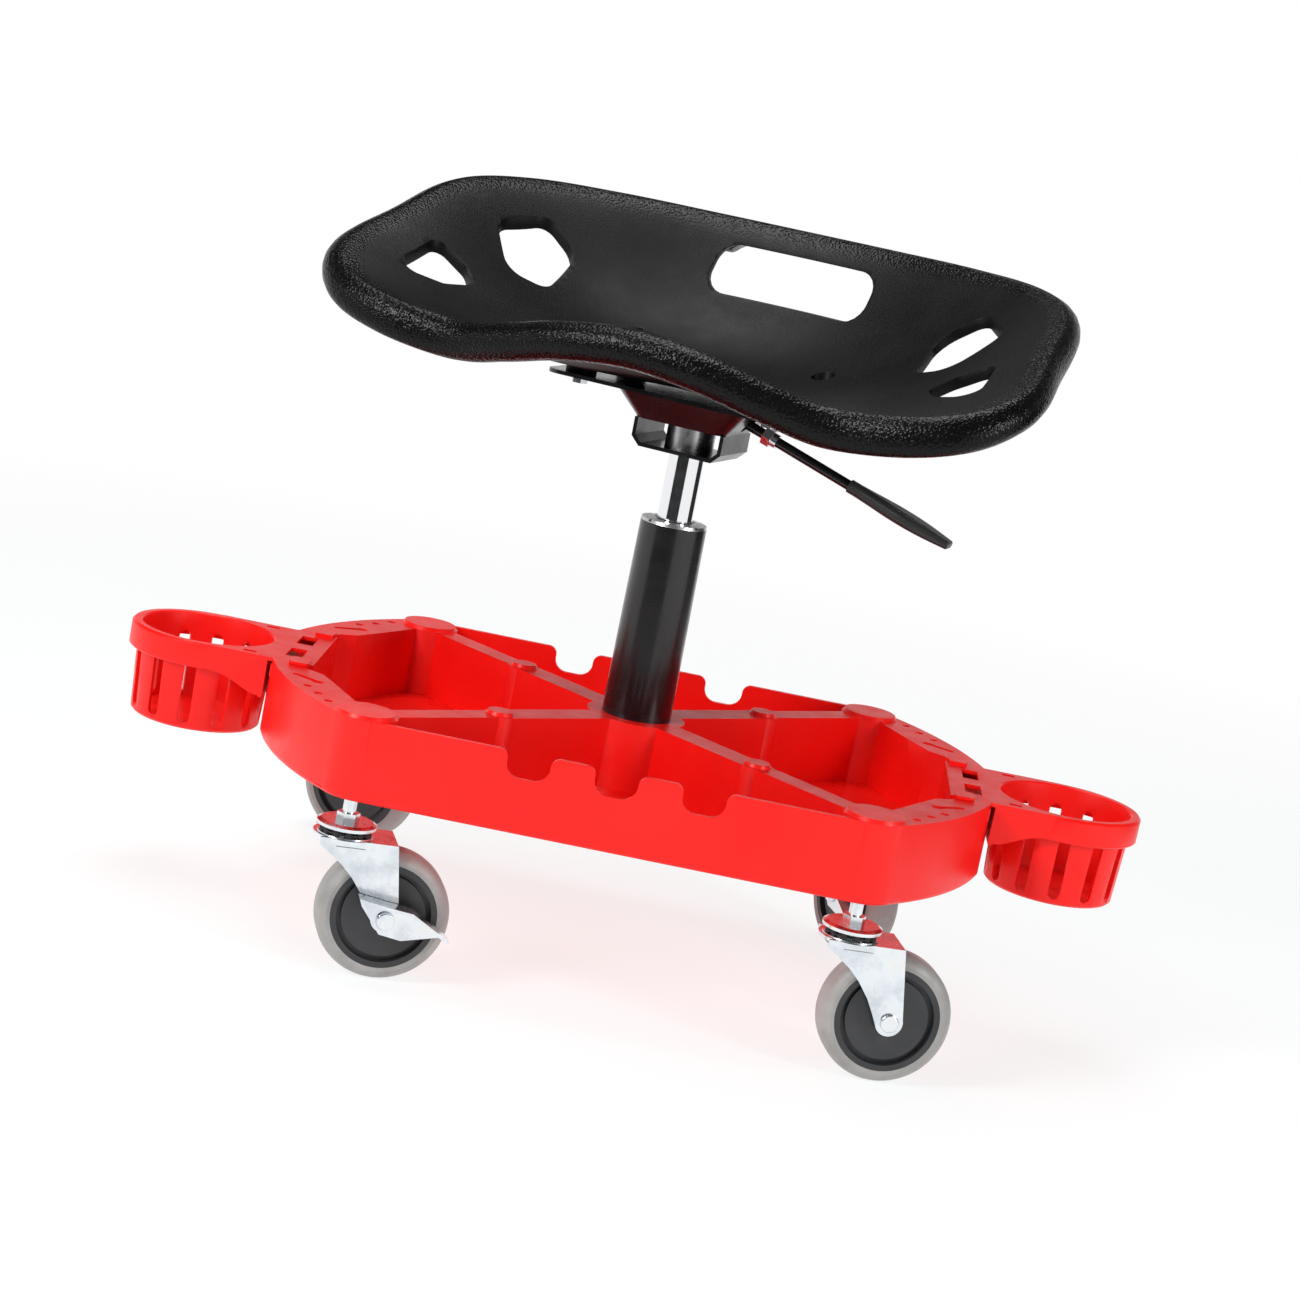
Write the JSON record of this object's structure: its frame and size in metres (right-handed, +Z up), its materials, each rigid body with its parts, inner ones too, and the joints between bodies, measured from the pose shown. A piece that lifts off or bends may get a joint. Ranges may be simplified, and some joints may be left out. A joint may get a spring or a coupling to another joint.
{
  "type": "rolling mechanic stool",
  "caption": "Rolling mechanic's stool: swivel tractor seat on a gas lift above a caster tool tray with clip-on cup holders.",
  "frame": {"origin": "on the floor, at the middle of the object's box, which is the axis of the seat column within a few millimetres", "axes": "+X along the tray's long side to its right cup holder, +Y to the back, +Z up"},
  "size_m": [0.81, 0.4319, 0.5946],
  "materials": {
    "red_plastic": "semi-gloss moulded",
    "black_enamel": "gloss enamel",
    "chrome": "polished",
    "zinc_plate": "bright zinc plate",
    "bare_steel": "machined",
    "seat_shell": "pebbled grain",
    "grip_plastic": "fine texture",
    "hub_plastic": "satin",
    "tyre_rubber": "satin grey",
    "guide_plastic": "satin",
    "seal_plastic": "matte"
  },
  "bodies": {
    "base": {"tool_tray": "red_plastic", "column_tube": "black_enamel", "guide_sleeve": "bare_steel", "thrust_bearing": "bare_steel", "caster_stem_front_left": "zinc_plate", "upper_race_front_left": "zinc_plate", "caster_stem_front_right": "zinc_plate", "upper_race_front_right": "zinc_plate", "caster_stem_back_left": "zinc_plate", "upper_race_back_left": "zinc_plate", "caster_stem_back_right": "zinc_plate", "upper_race_back_right": "zinc_plate"},
    "cup_left": {"cup_holder_left": "red_plastic"},
    "cup_right": {"cup_holder_right": "red_plastic"},
    "fork_front_left": {"caster_fork_front_left": "zinc_plate", "ball_cage_front_left": "seal_plastic", "axle_bolt_front_left": "zinc_plate", "axle_nut_front_left": "zinc_plate"},
    "wheel_front_left": {"wheel_hub_front_left": "hub_plastic", "tyre_front_left": "tyre_rubber", "wheel_bush_front_left": "bare_steel"},
    "fork_front_right": {"caster_fork_front_right": "zinc_plate", "ball_cage_front_right": "seal_plastic", "axle_bolt_front_right": "zinc_plate", "axle_nut_front_right": "zinc_plate"},
    "wheel_front_right": {"wheel_hub_front_right": "hub_plastic", "tyre_front_right": "tyre_rubber", "wheel_bush_front_right": "bare_steel"},
    "fork_back_left": {"caster_fork_back_left": "zinc_plate", "ball_cage_back_left": "seal_plastic", "axle_bolt_back_left": "zinc_plate", "axle_nut_back_left": "zinc_plate"},
    "wheel_back_left": {"wheel_hub_back_left": "hub_plastic", "tyre_back_left": "tyre_rubber", "wheel_bush_back_left": "bare_steel"},
    "fork_back_right": {"caster_fork_back_right": "zinc_plate", "ball_cage_back_right": "seal_plastic", "axle_bolt_back_right": "zinc_plate", "axle_nut_back_right": "zinc_plate"},
    "wheel_back_right": {"wheel_hub_back_right": "hub_plastic", "tyre_back_right": "tyre_rubber", "wheel_bush_back_right": "bare_steel"},
    "pedal_front_left": {"brake_pedal_front_left": "zinc_plate"},
    "pedal_back_right": {"brake_pedal_back_right": "zinc_plate"},
    "rod": {"piston_rod": "bare_steel", "piston_head": "seal_plastic", "rod_clip": "bare_steel"},
    "seat": {"seat": "seat_shell", "seat_plate": "black_enamel", "seat_pan": "black_enamel", "seat_bracket": "black_enamel", "seat_bolts": "zinc_plate", "taper_socket": "bare_steel", "pressure_tube": "chrome", "rod_gland": "guide_plastic", "lever_pivot": "zinc_plate"},
    "lever": {"lever_rod": "black_enamel", "lever_ferrule": "zinc_plate", "lever_grip": "grip_plastic"},
    "pin": {"release_pin": "bare_steel"}
  },
  "joints": [
    {"name": "seat_swivel", "type": "hinge", "parent": "base", "child": "rod", "pos_m": [0, 0, 0.15], "axis": [0, 0, 1], "continuous": true},
    {"name": "seat_height", "type": "slide", "parent": "rod", "child": "seat", "axis": [0, 0, 1], "range_m": [-0.045, 0.07]},
    {"name": "release_lever", "type": "hinge", "parent": "seat", "child": "lever", "pos_m": [0.02853, -0.00927, 0.446], "axis": [-0.309, -0.9511, 0], "range_deg": [0, 8], "stiffness_Nm_per_rad": 1.5, "springref_deg": -5.73},
    {"name": "release_pin_slide", "type": "slide", "parent": "seat", "child": "pin", "axis": [0, 0, -1], "range_m": [0, 0.0043]},
    {"name": "cup_holder_lift_left", "type": "slide", "parent": "base", "child": "cup_left", "axis": [0, 0, 1], "range_m": [0, 0.08]},
    {"name": "cup_holder_lift_right", "type": "slide", "parent": "base", "child": "cup_right", "axis": [0, 0, 1], "range_m": [0, 0.08]},
    {"name": "caster_swivel_front_left", "type": "hinge", "parent": "base", "child": "fork_front_left", "pos_m": [-0.19, -0.178, 0.11], "axis": [0, 0, 1], "continuous": true},
    {"name": "wheel_spin_front_left", "type": "hinge", "parent": "fork_front_left", "child": "wheel_front_left", "pos_m": [-0.15426, -0.16842, 0.05], "axis": [-0.2588, 0.9659, 0], "continuous": true},
    {"name": "brake_front_left", "type": "hinge", "parent": "fork_front_left", "child": "pedal_front_left", "pos_m": [-0.15426, -0.16842, 0.05], "axis": [-0.2588, 0.9659, 0], "range_deg": [0, 22]},
    {"name": "caster_swivel_front_right", "type": "hinge", "parent": "base", "child": "fork_front_right", "pos_m": [0.19, -0.178, 0.11], "axis": [0, 0, 1], "continuous": true},
    {"name": "wheel_spin_front_right", "type": "hinge", "parent": "fork_front_right", "child": "wheel_front_right", "pos_m": [0.22619, -0.17031, 0.05], "axis": [-0.2079, 0.9781, 0], "continuous": true},
    {"name": "caster_swivel_back_left", "type": "hinge", "parent": "base", "child": "fork_back_left", "pos_m": [-0.19, 0.178, 0.11], "axis": [0, 0, 1], "continuous": true},
    {"name": "wheel_spin_back_left", "type": "hinge", "parent": "fork_back_left", "child": "wheel_back_left", "pos_m": [-0.22519, 0.18943, 0.05], "axis": [-0.309, -0.9511, 0], "continuous": true},
    {"name": "caster_swivel_back_right", "type": "hinge", "parent": "base", "child": "fork_back_right", "pos_m": [0.19, 0.178, 0.11], "axis": [0, 0, 1], "continuous": true},
    {"name": "wheel_spin_back_right", "type": "hinge", "parent": "fork_back_right", "child": "wheel_back_right", "pos_m": [0.2085, 0.14596, 0.05], "axis": [0.866, 0.5, 0], "continuous": true},
    {"name": "brake_back_right", "type": "hinge", "parent": "fork_back_right", "child": "pedal_back_right", "pos_m": [0.2085, 0.14596, 0.05], "axis": [0.866, 0.5, 0], "range_deg": [0, 22]}
  ],
  "couplings": [
    {"joint": "release_pin_slide", "follows": "release_lever", "m_per_rad": 0.03}
  ]
}
